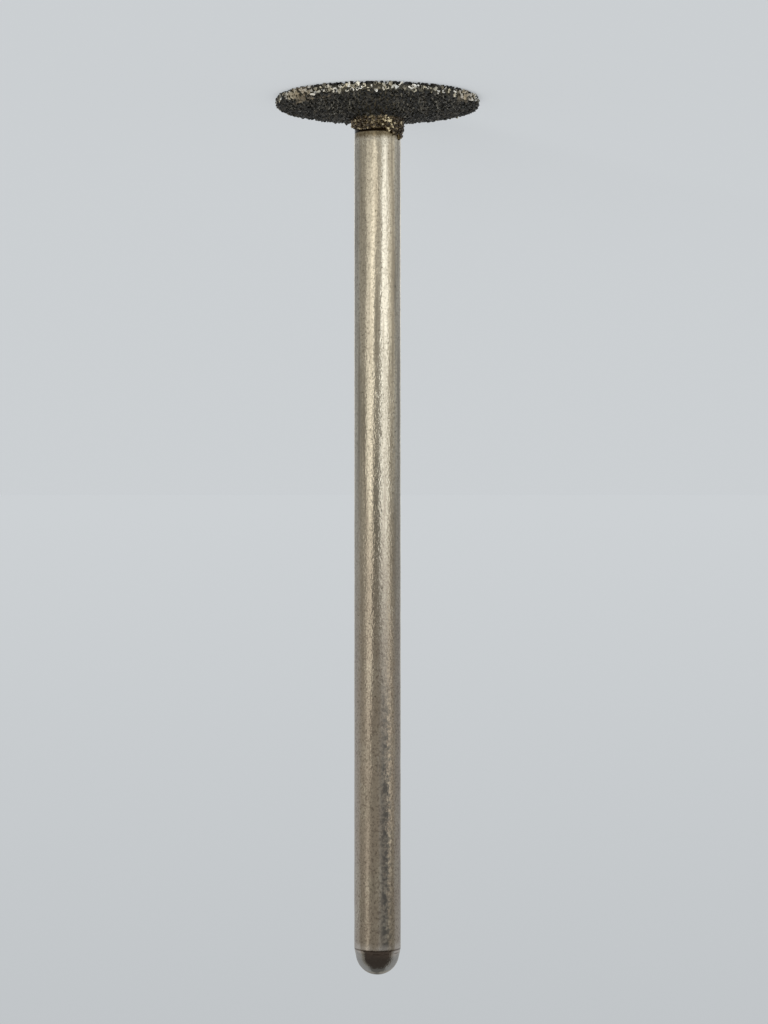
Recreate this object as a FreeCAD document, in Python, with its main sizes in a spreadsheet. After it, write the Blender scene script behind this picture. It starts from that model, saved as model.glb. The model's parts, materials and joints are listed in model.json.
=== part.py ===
"""A diamond disc bur: a straight round shank, a thin disc across its end and a layer of diamond grit.

The shank and the disc are one turned steel blank. The back of the disc rises as a shallow cone to the
neck, which widens by a hair to the full shank, and the shank's free end has a short taper and a round nose.
The grit layer wraps the disc on both faces and round the rim, climbs the neck as a collar and ends there in
an uneven edge with a few runs.

Millimetres. The Z axis is the bur's axis. Z = 0 is the coated outer face of the disc, on which the bur
stands, and the shank points up. The -Y side is the one that the photograph shows.
"""

import FreeCAD, Part
import math
import os

import Sketcher
from FreeCAD import Vector

# Name, value and meaning of every driving dimension, in millimetres or degrees.
SIZES = (
    ("overall_length", 44.5, "coated outer face of the disc to the tip of the nose"),
    ("shank_diameter", 2.35, "straight handpiece shank"),
    ("nose_radius", 1.1, "round nose on the free end"),
    ("nose_taper_angle", 12.0, "taper between the shank's edge and the nose, to the axis"),
    ("disc_diameter", 10.0, "bare steel disc"),
    ("disc_rim_thickness", 0.3, "bare steel disc at its rim"),
    ("disc_hub_rise", 0.6, "rise of the disc's conical back from the rim to the neck"),
    ("hub_fillet", 0.15, "fillet of the bare disc into the neck"),
    ("neck_relief", 0.02, "how far the neck's foot is turned below the shank's radius"),
    ("bare_neck_length", 0.6, "neck from the collar's edge to the full shank"),
    ("coat_thickness", 0.13, "diamond grit and nickel on the disc, measured square to the steel"),
    ("coat_rim_round", 0.17, "round on the coated rim's two edges"),
    ("coat_hub_fillet", 0.1, "fillet of the coated disc into the collar"),
    ("collar_thickness", 0.155, "diamond grit and nickel on the neck"),
    ("collar_length", 0.72, "coated neck, from the coated disc's back to the collar's edge"),
    ("collar_edge_round", 0.07, "round on the collar's edge"),
)

# Each run of grit beyond the collar: name, angle from the side that the photograph shows towards -X in
# degrees, width and length in millimetres.
RUNS = (
    ("near_run", 27.0, 0.34, 0.14),
    ("middle_run", 47.0, 0.42, 0.26),
    ("long_run", 68.0, 0.24, 0.47),
    ("back_run", 171.0, 0.5, 0.12),
    ("far_run", 240.0, 0.4, 0.18),
)

# Two edges match when their radii and heights are nearer than this.
EDGE_MATCH = 1e-4

doc = FreeCAD.newDocument("disc_bur")


def make_sheet():
    """Puts every driving dimension into a named cell of one spreadsheet."""
    sheet = doc.addObject("Spreadsheet::Sheet", "sizes")
    rows = list(SIZES)
    for name, angle, width, length in RUNS:
        rows.append((name + "_angle", angle, "place round the neck"))
        rows.append((name + "_width", width, "width round the neck"))
        rows.append((name + "_length", length, "reach beyond the collar's edge"))
    for number, (alias, value, meaning) in enumerate(rows, start=1):
        sheet.set(f"A{number}", alias)
        sheet.set(f"B{number}", str(value))
        sheet.set(f"C{number}", meaning)
        sheet.setAlias(f"B{number}", alias)
    doc.recompute()
    return sheet


sheet = make_sheet()


def size(alias):
    """The number that a named cell holds."""
    return float(sheet.get(alias))


def origin_plane(body, role):
    """One of a body's own origin planes, by its role."""
    return next(item for item in body.Origin.OriginFeatures if item.Role == role)


def new_profile(body, name):
    """An empty sketch on the body's XZ plane: its x is the radius and its y the height."""
    sketch = body.newObject("Sketcher::SketchObject", name)
    sketch.AttachmentSupport = [(origin_plane(body, "XZ_Plane"), "")]
    sketch.MapMode = "FlatFace"
    return sketch


def add_outline(sketch, points):
    """Closed outline of straight lines through (radius, height) points. Returns the lines' numbers."""
    count = len(points)
    lines = []
    for number in range(count):
        start = Vector(*points[number], 0)
        end = Vector(*points[(number + 1) % count], 0)
        lines.append(sketch.addGeometry(Part.LineSegment(start, end), False))
    for number in range(count):
        follower = lines[(number + 1) % count]
        sketch.addConstraint(Sketcher.Constraint("Coincident", lines[number], 2, follower, 1))
    return lines


def value_of(expression):
    """The number that an expression of the sheet's cells comes to."""
    return float(sheet.evalExpression(expression))


def drive(sketch, name, constraint, expression):
    """Adds a sizing constraint under a name and ties it to an expression of the sheet's cells."""
    number = sketch.addConstraint(constraint)
    sketch.renameConstraint(number, name)
    sketch.setExpression("Constraints." + name, expression)


def from_axis(sketch, name, line, end, expression):
    """Places a point of a line at a distance from the bur's axis."""
    distance = value_of(expression)
    drive(sketch, name, Sketcher.Constraint("DistanceX", -1, 1, line, end, distance), expression)


def from_face(sketch, name, line, end, expression):
    """Places a point of a line at a height above the bur's outer face."""
    distance = value_of(expression)
    drive(sketch, name, Sketcher.Constraint("DistanceY", -1, 1, line, end, distance), expression)


def square_up(sketch, upright, level, axis):
    """Keeps lines of a profile upright or level, and one line on the bur's axis."""
    for line in upright:
        sketch.addConstraint(Sketcher.Constraint("Vertical", line))
    for line in level:
        sketch.addConstraint(Sketcher.Constraint("Horizontal", line))
    for end in (1, 2):
        sketch.addConstraint(Sketcher.Constraint("PointOnObject", axis, end, -2))


def revolve(body, sketch, kind, name):
    """Adds or cuts what a profile sweeps in one turn round the bur's axis."""
    solid = body.newObject(kind, name)
    solid.Profile = sketch
    solid.ReferenceAxis = (sketch, ["V_Axis"])
    solid.Angle = 360.0
    sketch.Visibility = False
    doc.recompute()
    return solid


def circles_at(shape, radius, heights):
    """Names of the round edges of a shape with this radius whose height is one of those given."""
    names = []
    for number, edge in enumerate(shape.Edges, start=1):
        if edge.Degenerated or not isinstance(edge.Curve, Part.Circle):
            continue
        curve = edge.Curve
        if abs(curve.Radius - radius) > EDGE_MATCH:
            continue
        if any(abs(curve.Center.z - height) < EDGE_MATCH for height in heights):
            names.append(f"Edge{number}")
    return names


def round_edges(body, base, names, radius_cell, label):
    """Rounds the named edges of a feature by the radius that a cell holds."""
    fillet = body.newObject("PartDesign::Fillet", label)
    fillet.Base = (base, names)
    fillet.setExpression("Radius", f"sizes.{radius_cell}")
    doc.recompute()
    return fillet


# Heights and radii that more than one piece needs, as expressions of the sheet's cells.
SHANK_RADIUS = "sizes.shank_diameter / 2"
HUB_RADIUS = f"({SHANK_RADIUS} - sizes.neck_relief)"
DISC_RADIUS = "sizes.disc_diameter / 2"
DISC_BACK = "sizes.coat_thickness + sizes.disc_rim_thickness"
HUB_TOP = f"{DISC_BACK} + sizes.disc_hub_rise"
NOSE_CLEAR_RADIUS = "sizes.shank_diameter"
NOSE_CLEAR_HEIGHT = "sizes.overall_length + sizes.nose_radius"
COLLAR_RADIUS = f"{SHANK_RADIUS} + sizes.collar_thickness"

# The grit's conical back lies square to the steel's, so that it stands higher by the slope's secant.
CONE_SLOPE = f"sizes.disc_hub_rise / ({DISC_RADIUS} - {HUB_RADIUS})"
COAT_LIFT = f"sizes.coat_thickness / cos(atan({CONE_SLOPE}))"
COATED_RADIUS = f"{DISC_RADIUS} + sizes.coat_thickness"
COATED_RIM_BACK = f"{DISC_BACK} + {COAT_LIFT} - {CONE_SLOPE} * sizes.coat_thickness"
COLLAR_FOOT = f"{HUB_TOP} + {COAT_LIFT} - {CONE_SLOPE} * ({COLLAR_RADIUS} - {HUB_RADIUS})"
COLLAR_EDGE = f"{COLLAR_FOOT} + sizes.collar_length"
NECK_END = f"{COLLAR_EDGE} + sizes.bare_neck_length"


def make_blank():
    """Turned steel blank: the disc with its conical back, the neck, the shank, the taper and the nose."""
    body = doc.addObject("PartDesign::Body", "turned_blank")
    body.Label = "turned_blank"
    disc_radius = value_of(DISC_RADIUS)
    hub_radius = value_of(HUB_RADIUS)
    shank_radius = value_of(SHANK_RADIUS)
    face = size("coat_thickness")
    back = value_of(DISC_BACK)
    top = value_of(HUB_TOP)
    profile = new_profile(body, "blank_profile")
    lines = add_outline(
        profile,
        (
            (0.0, face),
            (disc_radius, face),
            (disc_radius, back),
            (hub_radius, top),
            (shank_radius, value_of(NECK_END)),
            (shank_radius, size("overall_length")),
            (0.0, size("overall_length")),
        ),
    )
    outer_face, rim, cone, neck, shank, end, axis = lines
    square_up(profile, upright=(rim, shank), level=(outer_face, end), axis=axis)
    from_axis(profile, "disc_radius", outer_face, 2, DISC_RADIUS)
    from_face(profile, "face_height", outer_face, 2, "sizes.coat_thickness")
    from_face(profile, "back_height", rim, 2, DISC_BACK)
    from_axis(profile, "hub_radius", cone, 2, HUB_RADIUS)
    from_face(profile, "hub_height", cone, 2, HUB_TOP)
    from_axis(profile, "shank_radius", neck, 2, SHANK_RADIUS)
    from_face(profile, "neck_end", neck, 2, NECK_END)
    from_face(profile, "tip_height", shank, 2, "sizes.overall_length")
    solid = revolve(body, profile, "PartDesign::Revolution", "turning")
    feet = circles_at(solid.Shape, hub_radius, (top,))
    round_edges(body, solid, feet, "hub_fillet", "hub_round")
    turn_nose(body)
    return body


def turn_nose(body):
    """Turns the shank's free end down to a taper and a round nose."""
    profile = new_profile(body, "nose_profile")
    taper = math.radians(size("nose_taper_angle"))
    nose_radius = size("nose_radius")
    tip = size("overall_length")
    centre = tip - nose_radius
    start = (nose_radius * math.cos(taper), centre + nose_radius * math.sin(taper))
    clear_radius = value_of(NOSE_CLEAR_RADIUS)
    clear_height = value_of(NOSE_CLEAR_HEIGHT)
    corners = (
        start,
        (clear_radius, start[1] - (clear_radius - start[0]) / math.tan(taper)),
        (clear_radius, clear_height),
        (0.0, clear_height),
        (0.0, tip),
    )
    lines = []
    for first, second in zip(corners, corners[1:]):
        lines.append(profile.addGeometry(Part.LineSegment(Vector(*first, 0), Vector(*second, 0)), False))
    cone, side, lid, axis = lines
    circle = Part.Circle(Vector(0, centre, 0), Vector(0, 0, 1), nose_radius)
    nose = profile.addGeometry(Part.ArcOfCircle(circle, taper, math.pi / 2), False)
    for before, after in zip(lines, lines[1:]):
        profile.addConstraint(Sketcher.Constraint("Coincident", before, 2, after, 1))
    profile.addConstraint(Sketcher.Constraint("Coincident", axis, 2, nose, 2))
    profile.addConstraint(Sketcher.Constraint("Tangent", cone, 1, nose, 1))
    profile.addConstraint(Sketcher.Constraint("PointOnObject", nose, 3, -2))
    square_up(profile, upright=(side,), level=(lid,), axis=axis)
    from_face(profile, "tip_height", axis, 2, "sizes.overall_length")
    from_axis(profile, "clear_radius", side, 1, NOSE_CLEAR_RADIUS)
    from_face(profile, "clear_height", side, 2, NOSE_CLEAR_HEIGHT)
    drive(profile, "nose_radius", Sketcher.Constraint("Radius", nose, nose_radius), "sizes.nose_radius")
    drive(
        profile,
        "taper_angle",
        Sketcher.Constraint("Angle", side, 1, cone, 2, taper),
        "sizes.nose_taper_angle",
    )
    revolve(body, profile, "PartDesign::Groove", "nose_turning")


def make_grit_envelope():
    """Solid outline of the coated head, from the outer face to the collar's edge, steel included."""
    body = doc.addObject("PartDesign::Body", "grit_envelope")
    profile = new_profile(body, "grit_profile")
    rim_radius = value_of(COATED_RADIUS)
    collar_radius = value_of(COLLAR_RADIUS)
    rim_back = value_of(COATED_RIM_BACK)
    collar_foot = value_of(COLLAR_FOOT)
    collar_edge = value_of(COLLAR_EDGE)
    lines = add_outline(
        profile,
        (
            (0.0, 0.0),
            (rim_radius, 0.0),
            (rim_radius, rim_back),
            (collar_radius, collar_foot),
            (collar_radius, collar_edge),
            (0.0, collar_edge),
        ),
    )
    outer_face, rim, cone, collar, edge, axis = lines
    profile.addConstraint(Sketcher.Constraint("PointOnObject", outer_face, 2, -1))
    square_up(profile, upright=(rim, collar), level=(outer_face, edge), axis=axis)
    from_axis(profile, "coated_radius", outer_face, 2, COATED_RADIUS)
    from_face(profile, "coated_rim_back", rim, 2, COATED_RIM_BACK)
    from_axis(profile, "collar_radius", cone, 2, COLLAR_RADIUS)
    from_face(profile, "collar_foot", cone, 2, COLLAR_FOOT)
    from_face(profile, "collar_edge", collar, 2, COLLAR_EDGE)
    solid = revolve(body, profile, "PartDesign::Revolution", "coated_head")
    rims = circles_at(solid.Shape, rim_radius, (0.0, rim_back))
    solid = round_edges(body, solid, rims, "coat_rim_round", "coated_rim_rounds")
    foot = circles_at(solid.Shape, collar_radius, (collar_foot,))
    solid = round_edges(body, solid, foot, "coat_hub_fillet", "coated_hub_round")
    lip = circles_at(solid.Shape, collar_radius, (collar_edge,))
    round_edges(body, solid, lip, "collar_edge_round", "collar_lip")
    return body


def make_run(name, sleeve):
    """One run of grit beyond the collar: a tongue with a round end that lies on the shank."""
    stem = doc.addObject("Part::Box", name + "_stem")
    stem.setExpression("Length", f"sizes.{name}_width")
    stem.setExpression("Width", COLLAR_RADIUS)
    stem.setExpression("Height", f"sizes.collar_length / 2 + sizes.{name}_length - sizes.{name}_width / 2")
    stem.setExpression("Placement.Base.x", f"-sizes.{name}_width / 2")
    stem.setExpression("Placement.Base.y", f"-({COLLAR_RADIUS})")
    stem.setExpression("Placement.Base.z", f"{COLLAR_EDGE} - sizes.collar_length / 2")
    tip = doc.addObject("Part::Cylinder", name + "_tip")
    tip.setExpression("Radius", f"sizes.{name}_width / 2")
    tip.setExpression("Height", COLLAR_RADIUS)
    tip.Placement.Rotation = FreeCAD.Rotation(Vector(1, 0, 0), 90)
    tip.setExpression("Placement.Base.z", f"{COLLAR_EDGE} + sizes.{name}_length - sizes.{name}_width / 2")
    tongue = doc.addObject("Part::MultiFuse", name + "_tongue")
    tongue.Shapes = [stem, tip]
    tongue.Placement.Rotation = FreeCAD.Rotation(Vector(0, 0, 1), 0)
    tongue.setExpression("Placement.Rotation.Angle", f"-sizes.{name}_angle")
    run = doc.addObject("Part::MultiCommon", name)
    run.Shapes = [tongue, sleeve]
    return run


def make_sleeve():
    """Solid bar of the collar's diameter, which gives the runs their outer face."""
    sleeve = doc.addObject("Part::Cylinder", "run_face")
    sleeve.setExpression("Radius", COLLAR_RADIUS)
    sleeve.setExpression("Height", f"{COLLAR_EDGE} + sizes.shank_diameter")
    return sleeve


def make_coat(blank):
    """Grit layer: the coated head and its runs, less the steel blank that it covers."""
    envelope = make_grit_envelope()
    sleeve = make_sleeve()
    runs = []
    for name, _, _, _ in RUNS:
        runs.append(make_run(name, sleeve))
    head = doc.addObject("Part::MultiFuse", "coated_head_with_runs")
    head.Shapes = [envelope] + runs
    head.Refine = True
    coat = doc.addObject("Part::Cut", "diamond_coat")
    coat.Label = "diamond_coat"
    coat.Base = head
    coat.Tool = blank
    doc.recompute()
    return coat


def check_document(pieces):
    """Stops if a feature failed or a piece is not one valid closed solid."""
    for item in doc.Objects:
        if "Invalid" in item.State or "Error" in item.State:
            raise RuntimeError(f"{item.Label} failed: {item.State}")
    for piece in pieces:
        shape = piece.Shape
        if shape.isNull() or not shape.isValid() or len(shape.Solids) != 1:
            raise RuntimeError(f"{piece.Label} is not one valid solid: {len(shape.Solids)} solids")
        print(piece.Label, "volume", round(shape.Volume, 3), "mm3")


blank = make_blank()
coat = make_coat(blank)
doc.recompute()
check_document((blank, coat))

os.makedirs("parts", exist_ok=True)
for piece in (blank, coat):
    piece.Shape.exportStep(f"parts/{piece.Label}.step")
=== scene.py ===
"""Looks of a dental bur with a diamond-coated disc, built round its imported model.

The file is laid out as an add-on: the sizes and colours are properties, each piece or group of like pieces
has an operator, and a panel lists them. Run as a script, it builds everything in order.

The bur stands on the outer face of its disc. Its axis is +Z, and the -Y side faces the camera. Lengths are
in millimetres where no other unit is named. Angles round the bur are turned from -Y towards -X.
"""

import json
import math
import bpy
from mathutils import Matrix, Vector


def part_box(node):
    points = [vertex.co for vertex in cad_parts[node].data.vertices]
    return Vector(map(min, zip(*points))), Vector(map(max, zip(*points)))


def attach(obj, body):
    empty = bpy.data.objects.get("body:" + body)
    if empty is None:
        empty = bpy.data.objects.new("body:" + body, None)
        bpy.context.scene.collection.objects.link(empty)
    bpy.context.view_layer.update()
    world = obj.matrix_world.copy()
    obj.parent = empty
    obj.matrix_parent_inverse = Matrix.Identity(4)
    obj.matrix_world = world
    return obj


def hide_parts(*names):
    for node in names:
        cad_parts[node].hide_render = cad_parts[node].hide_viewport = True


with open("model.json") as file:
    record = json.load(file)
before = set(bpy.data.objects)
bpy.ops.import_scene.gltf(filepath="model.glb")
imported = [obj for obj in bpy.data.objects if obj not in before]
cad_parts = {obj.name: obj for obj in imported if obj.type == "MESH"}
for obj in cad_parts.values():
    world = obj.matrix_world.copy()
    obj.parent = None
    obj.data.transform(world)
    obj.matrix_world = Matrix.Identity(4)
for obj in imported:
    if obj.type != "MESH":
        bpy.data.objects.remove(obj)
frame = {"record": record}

from types import SimpleNamespace

import bmesh
import bpy
import numpy as np
from bpy.props import FloatProperty, FloatVectorProperty, IntProperty, PointerProperty
from mathutils import Matrix, Vector, noise
from mathutils.kdtree import KDTree

bl_info = {
    "name": "Diamond disc bur",
    "version": (1, 0, 0),
    "blender": (4, 5, 0),
    "location": "View3D > Sidebar > Bur",
    "description": "Builds the finish of a dental bur with a diamond-coated disc",
    "category": "Object",
}

# One millimetre in metres, the unit of every mesh.
MM = 0.001
BODY = "root"

BLANK_LOW, BLANK_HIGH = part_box("turned_blank")
SHANK_MOUNT = next(mount for mount in frame["record"]["mounts"] if mount["name"] == "shank")

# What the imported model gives.
COATED_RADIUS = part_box("diamond_coat")[1].x / MM
BLANK_RADIUS = BLANK_HIGH.x / MM
BLANK_FACE = BLANK_LOW.z / MM
BUR_LENGTH = BLANK_HIGH.z / MM
SHANK_RADIUS = SHANK_MOUNT["dims"]["r_mm"]

# Runs of grit beyond the collar's edge: angle in degrees, width and length.
RUNS = (
    (27.0, 0.34, 0.14),
    (47.0, 0.42, 0.26),
    (68.0, 0.24, 0.47),
    (171.0, 0.5, 0.12),
    (240.0, 0.4, 0.18),
)

# Angles round the collar in degrees, and how far its edge lies above its nominal height there.
COLLAR_EDGE = (
    (-180.0, -0.1),
    (-145.0, -0.2),
    (-120.0, -0.5),
    (-100.0, -0.38),
    (-78.0, -0.32),
    (-60.0, -0.12),
    (-30.0, -0.1),
    (0.0, -0.1),
    (16.0, -0.15),
    (30.0, -0.1),
    (70.0, -0.05),
    (110.0, -0.15),
    (180.0, -0.1),
)


def linear(text):
    """Linear red, green and blue of an sRGB hex colour."""
    channels = []
    for place in (1, 3, 5):
        value = int(text[place:place + 2], 16) / 255
        channels.append(value / 12.92 if value <= 0.04045 else ((value + 0.055) / 1.055) ** 2.4)
    return tuple(channels)


def millimetres(name, default, description):
    """A length property. It is given here in millimetres, and the panel shows it in the scene's unit."""
    return FloatProperty(
        name=name, default=default * MM, description=description, min=0.0, precision=5, unit="LENGTH"
    )


def fraction(name, default, description):
    """A property from 0 to 1."""
    return FloatProperty(
        name=name, default=default, description=description, min=0.0, max=1.0, subtype="FACTOR"
    )


def colour(name, text, description):
    """A colour property, given as an sRGB hex value."""
    return FloatVectorProperty(
        name=name, default=linear(text), description=description, subtype="COLOR", min=0.0, max=1.0
    )


class BurShankSettings(bpy.types.PropertyGroup):
    """Sizes and colours of the turned steel blank."""

    hub_top: millimetres("Hub top", 1.03, "Height at which the bare disc's cone meets the neck")
    neck_relief: millimetres("Neck relief", 0.02, "How far the neck's foot lies below the shank's radius")
    neck_end: millimetres("Neck end", 2.454, "Height at which the neck has widened to the full shank")
    rim_thickness: millimetres("Rim thickness", 0.3, "Bare disc at its rim")
    nose_radius: millimetres("Nose radius", 1.1, "Round nose on the free end")
    nose_taper: FloatProperty(
        name="Nose taper",
        default=math.radians(12),
        description="Taper between the shank's edge and the nose, to the axis",
        subtype="ANGLE",
    )
    waviness: millimetres("Waviness", 0.009, "Depth of the unevenness that the plating has")
    peel_size: millimetres("Peel size", 0.085, "Width of one dimple of the plating's orange peel")
    peel_depth: millimetres("Peel depth", 0.027, "Depth of one dimple of the plating's orange peel")
    steel: colour("Steel", "#EADFC9", "Warm nickel plate where it is clean")
    tarnish: colour("Tarnish", "#B5AA97", "Nickel plate where it has dulled")
    stain: colour("Stain", "#CABBA8", "Pinkish brown film on the gripped half")
    handled_stain: colour("Handled stain", "#998A7B", "Denser spots of that film")
    pit: colour("Pit", "#8C826F", "Small pits in the plate")
    dark_stain: colour("Dark stain", "#8E877D", "Dark spots that handling has left")
    worn_end: colour("Worn end", "#E2D6C8", "Plate rubbed clean beside the taper")
    # Painted shade: the near-black line under the collar's edge.
    painted_collar_shade: colour("Scorch", "#1E150C", "Burnt line where the plating stops under the collar")
    # Brown film that fades out below that painted shade.
    browned_film: colour("Scorch edge", "#6E5F48", "Brown film that fades out of the burnt line")
    under_film: colour("Under film", "#908268", "Thin brown film on the neck below the collar")
    turned_mark: colour("Turned mark", "#9A8D80", "Turned mark where the taper starts")
    nose_film: colour("Nose film", "#BDB8AE", "Thin film on the round nose")


class BurGritSettings(bpy.types.PropertyGroup):
    """Sizes and colours of the diamond layer."""

    rim_back: millimetres("Rim back", 0.541, "Height of the coated rim's back edge")
    rim_round: millimetres("Rim round", 0.17, "Round on the coated rim's edges")
    collar_foot: millimetres("Collar foot", 1.134, "Height at which the coated cone meets the collar")
    collar_edge: millimetres("Collar edge", 1.854, "Height of the collar's edge")
    neck_coat: millimetres("Neck coat", 0.155, "Thickness of the layer on the neck")
    grain: millimetres("Grain", 0.2, "Mean width of a diamond grain on the disc")
    spacing: millimetres("Spacing", 0.175, "Least distance between two grains on the disc")
    rim_spacing: millimetres("Rim spacing", 0.15, "Least distance between two grains on the rim")
    neck_grain: millimetres("Neck grain", 0.15, "Mean width of a diamond grain on the neck")
    neck_spacing: millimetres("Neck spacing", 0.085, "Least distance between two grains on the neck")
    sunk: millimetres("Sunk", 0.06, "How far the nickel bed lies below the layer's mean surface")
    seed: IntProperty(name="Seed", default=11, description="Seed of the grains' places and shapes")
    nickel: colour("Nickel bed", "#706C60", "Nickel between the grains")
    nickel_clogged: colour("Clogged nickel", "#58544A", "Nickel between the rim's grains")
    nickel_stained: colour("Stained nickel bed", "#352A1C", "Nickel on the neck, stained brown")
    grit_black: colour("Black grit", "#0E0D0A", "Darkest grains")
    grit_grey: colour("Grey grit", "#37332B", "Lightest grains on the disc")
    grit_brown: colour("Brown grit", "#3A2F20", "Stained grains on the neck")
    grit_tan: colour("Tan grit", "#847558", "Half-clean grains on the neck")
    grit_gold: colour("Gold grit", "#EBDCB4", "Cleanest grains on the neck")
    worn_dark: colour("Worn dark", "#867F70", "Worn grain tops on the rim, clogged")
    worn_gold: colour("Worn gold", "#D3CAB3", "Worn grain tops on the rim, tinted by use")
    worn_cream: colour("Worn cream", "#F9F5EB", "Worn grain tops on the rim, clean")
    worn_share: fraction("Worn share", 0.95, "Share of the rim's grains that are worn bright")
    core_share: fraction("Core share", 0.68, "Share of the worn grains with dark diamond in them")
    smear: colour("Smear", "#96886F", "Dried residue on the rim")


class BurStageSettings(bpy.types.PropertyGroup):
    """Floor, lights and camera."""

    camera_distance: millimetres("Camera distance", 128.0, "Camera to the bur's axis")
    camera_height: millimetres("Camera height", 21.04, "Height on the bur that the camera looks at")
    camera_side: millimetres("Camera side", 0.33, "How far the camera stands towards -X")
    lens: FloatProperty(name="Lens", default=88.66, description="Focal length", subtype="DISTANCE_CAMERA")
    floor_colour: colour("Floor", "#CDD1D4", "Pale floor and far background")
    sky_colour: colour("Sky", "#BEC2C5", "Background high above the floor")
    tent_radius: millimetres("Tent radius", 12.0, "Radius of the light tent that the metal reflects")
    roof_height: millimetres("Roof height", 66.0, "Height of the tent's roof")
    lamp_strength: FloatProperty(name="Lamp", default=1.2, description="Strength of the key lamp")
    world_strength: FloatProperty(name="Ambient", default=0.75, description="Strength of the soft surround")


def settings(name):
    """The values of one of this file's property groups, with its lengths in millimetres."""
    group = getattr(bpy.context.scene, name)
    values = {}
    for key in type(group).__annotations__:
        values[key] = getattr(group, key)
        if group.bl_rna.properties[key].unit == "LENGTH":
            # A property holds about seven digits, so the rest is rounding.
            values[key] = round(values[key] / MM, 6)
    return SimpleNamespace(**values)


# Turned shapes.


def rounded(corners, arc_steps):
    """Points of an outline whose corners are (radius, height, round), with each round stretch as an arc."""
    points = []
    for number, (x, y, radius) in enumerate(corners):
        here = np.array((x, y))
        if radius <= 0 or number in (0, len(corners) - 1):
            points.append(here)
            continue
        before = np.array(corners[number - 1][:2]) - here
        after = np.array(corners[number + 1][:2]) - here
        before /= np.linalg.norm(before)
        after /= np.linalg.norm(after)
        half = math.acos(np.clip(before @ after, -1, 1)) / 2
        middle = (before + after) / np.linalg.norm(before + after)
        centre = here + middle * radius / math.sin(half)
        start = here + before * radius / math.tan(half) - centre
        end = here + after * radius / math.tan(half) - centre
        for step in range(arc_steps + 1):
            share = step / arc_steps
            turn = (1 - share) * start + share * end
            points.append(centre + turn / np.linalg.norm(turn) * radius)
    return np.array(points)


def resampled(points, step):
    """The same outline with its long stretches divided to the step."""
    made = [points[0]]
    for start, end in zip(points, points[1:]):
        count = max(1, round(np.linalg.norm(end - start) / step))
        for number in range(1, count + 1):
            made.append(start + (end - start) * number / count)
    return np.array(made)


def outward(points):
    """Unit normals of an outline that runs from the outer face round the rim and up the shank."""
    along = np.gradient(points, axis=0)
    normals = np.stack((along[:, 1], -along[:, 0]), axis=1)
    return normals / np.linalg.norm(normals, axis=1)[:, None]


def lathe_faces(rings, columns):
    """Quads between rings of equal vertex count."""
    faces = []
    for ring in range(rings - 1):
        low = ring * columns
        high = low + columns
        for column in range(columns):
            following = (column + 1) % columns
            faces.append((low + column, low + following, high + following, high + column))
    return faces


def turn_from_front(places):
    """Angles of places round the bur, in degrees."""
    return np.degrees(np.arctan2(-places[:, 0], -places[:, 1]))


def turn_between(angle, degrees):
    """Signed turn from a direction in degrees to an angle in radians, in radians."""
    return (angle - math.radians(degrees) + math.pi) % (2 * math.pi) - math.pi


def around(radius, angle):
    """X and Y at a radius, at an angle in radians from -Y towards -X."""
    return -radius * math.sin(angle), -radius * math.cos(angle)


def linked(name, data):
    """An object of this name in the scene that shows the data."""
    made = bpy.data.objects.new(name, data)
    bpy.context.scene.collection.objects.link(made)
    return made


def new_mesh(name, vertices, faces, material):
    """A mesh with its material, from vertices in metres."""
    mesh = bpy.data.meshes.new(name)
    mesh.from_pydata(vertices, [], faces)
    mesh.materials.append(material)
    return mesh


def new_piece(name, vertices, faces, smooth, material):
    """A piece of the bur, from vertices in millimetres."""
    mesh = new_mesh(name, (np.asarray(vertices) * MM).tolist(), faces, material)
    mesh.validate()
    mesh.polygons.foreach_set("use_smooth", [smooth] * len(mesh.polygons))
    piece = linked(name, mesh)
    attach(piece, BODY)
    return piece


def weld(piece):
    """Merges the vertices that lie on the axis."""
    work = bmesh.new()
    work.from_mesh(piece.data)
    bmesh.ops.remove_doubles(work, verts=work.verts, dist=0.0001 * MM)
    work.to_mesh(piece.data)
    work.free()


# Materials.

# Sockets of a Mix node for colours. Its other types have sockets of the same names.
MIX_SHARE, MIX_UNDER, MIX_OVER = 0, 6, 7


def add_node(tree, kind, options=None, inputs=None, stops=None):
    """Adds a node with its options, its inputs' values or links, and a colour ramp's stops."""
    made = tree.nodes.new(kind)
    for name, value in (options or {}).items():
        setattr(made, name, value)
    for name, value in (inputs or {}).items():
        if isinstance(value, bpy.types.NodeSocket):
            tree.links.new(value, made.inputs[name])
        else:
            made.inputs[name].default_value = value
    if stops:
        ramp = made.color_ramp
        while len(ramp.elements) > 1:
            ramp.elements.remove(ramp.elements[-1])
        ramp.elements[0].position = stops[0][0]
        ramp.elements[0].color = stops[0][1]
        for place, value in stops[1:]:
            ramp.elements.new(place).color = value
    return made


def rgba(value):
    """A colour property with full alpha."""
    return (*value, 1.0)


def per_metre(size_mm):
    """Texture scale at which one feature of a pattern is this many millimetres wide."""
    return 1 / (size_mm * MM)


def new_material(name):
    """A material whose node tree is still empty. Returns it and the tree."""
    material = bpy.data.materials.new(name)
    material.use_nodes = True
    tree = material.node_tree
    tree.nodes.clear()
    return material, tree


def finished(material, kind, inputs):
    """The material with its shader, joined to its output."""
    tree = material.node_tree
    shader = add_node(tree, kind, inputs=inputs)
    add_node(tree, "ShaderNodeOutputMaterial", inputs={"Surface": shader.outputs[0]})
    return material


def patches(tree, place, width_mm, low, high, detail=4.0, within=1.0):
    """Patches of noise as a share that climbs from 0 to 1 as the noise goes from low to high."""
    cloud = add_node(
        tree, "ShaderNodeTexNoise", inputs={"Vector": place, "Scale": per_metre(width_mm), "Detail": detail}
    )
    share = add_node(
        tree,
        "ShaderNodeMapRange",
        {"interpolation_type": "SMOOTHSTEP"},
        {"Value": cloud.outputs[0], "From Min": low, "From Max": high},
    )
    return add_node(
        tree, "ShaderNodeMath", {"operation": "MULTIPLY"}, {0: share.outputs[0], 1: within}
    ).outputs[0]


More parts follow.
